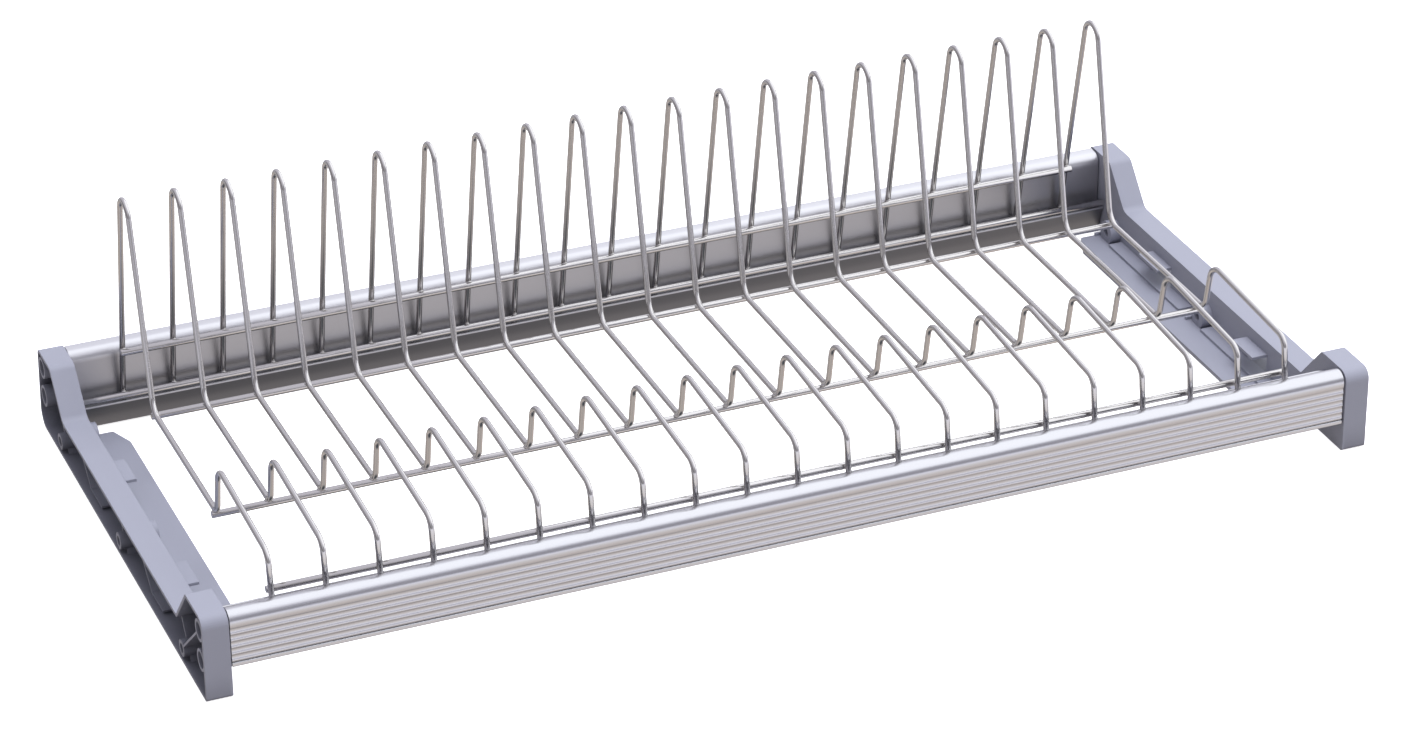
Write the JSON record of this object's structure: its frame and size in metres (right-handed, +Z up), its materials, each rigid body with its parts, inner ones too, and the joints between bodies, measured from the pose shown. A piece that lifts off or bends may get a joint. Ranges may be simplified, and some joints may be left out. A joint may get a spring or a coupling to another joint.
{
  "type": "cabinet dish drainer",
  "caption": "Dish drainer frame for a wall cabinet: plastic side brackets, aluminium rails and a lift-out rack of bent steel wires that holds plates on edge.",
  "frame": {"origin": "centre of the base, on the plane of the brackets' lower edges", "axes": "+X along the rails to the right, +Y to the back where the loops stand, +Z up"},
  "size_m": [0.564, 0.268, 0.1323],
  "materials": {
    "bracket_plastic": "smooth matte grey",
    "rail_aluminium": "satin anodised",
    "rack_steel": "polished stainless wire",
    "screw_steel": "zinc-plated"
  },
  "bodies": {
    "frame": {"left_bracket": "bracket_plastic", "right_bracket": "bracket_plastic", "front_rail": "rail_aluminium", "rear_rail": "rail_aluminium", "left_front_rail_screws": "screw_steel", "left_rear_rail_screws": "screw_steel", "right_front_rail_screws": "screw_steel", "right_rear_rail_screws": "screw_steel"},
    "rack": {"plate_wire_01": "rack_steel", "plate_wire_02": "rack_steel", "plate_wire_03": "rack_steel", "plate_wire_04": "rack_steel", "plate_wire_05": "rack_steel", "plate_wire_06": "rack_steel", "plate_wire_07": "rack_steel", "plate_wire_08": "rack_steel", "plate_wire_09": "rack_steel", "plate_wire_10": "rack_steel", "plate_wire_11": "rack_steel", "plate_wire_12": "rack_steel", "plate_wire_13": "rack_steel", "plate_wire_14": "rack_steel", "plate_wire_15": "rack_steel", "plate_wire_16": "rack_steel", "plate_wire_17": "rack_steel", "plate_wire_18": "rack_steel", "plate_wire_19": "rack_steel", "plate_wire_20": "rack_steel", "plate_wire_21": "rack_steel", "upper_back_rod": "rack_steel", "lower_back_rod": "rack_steel", "rear_bottom_rod": "rack_steel", "middle_rod": "rack_steel", "front_rod": "rack_steel"}
  },
  "joints": [
    {"name": "rack_lift", "type": "slide", "parent": "frame", "child": "rack", "axis": [0, 0, 1], "range_m": [0, 0.08]}
  ]
}
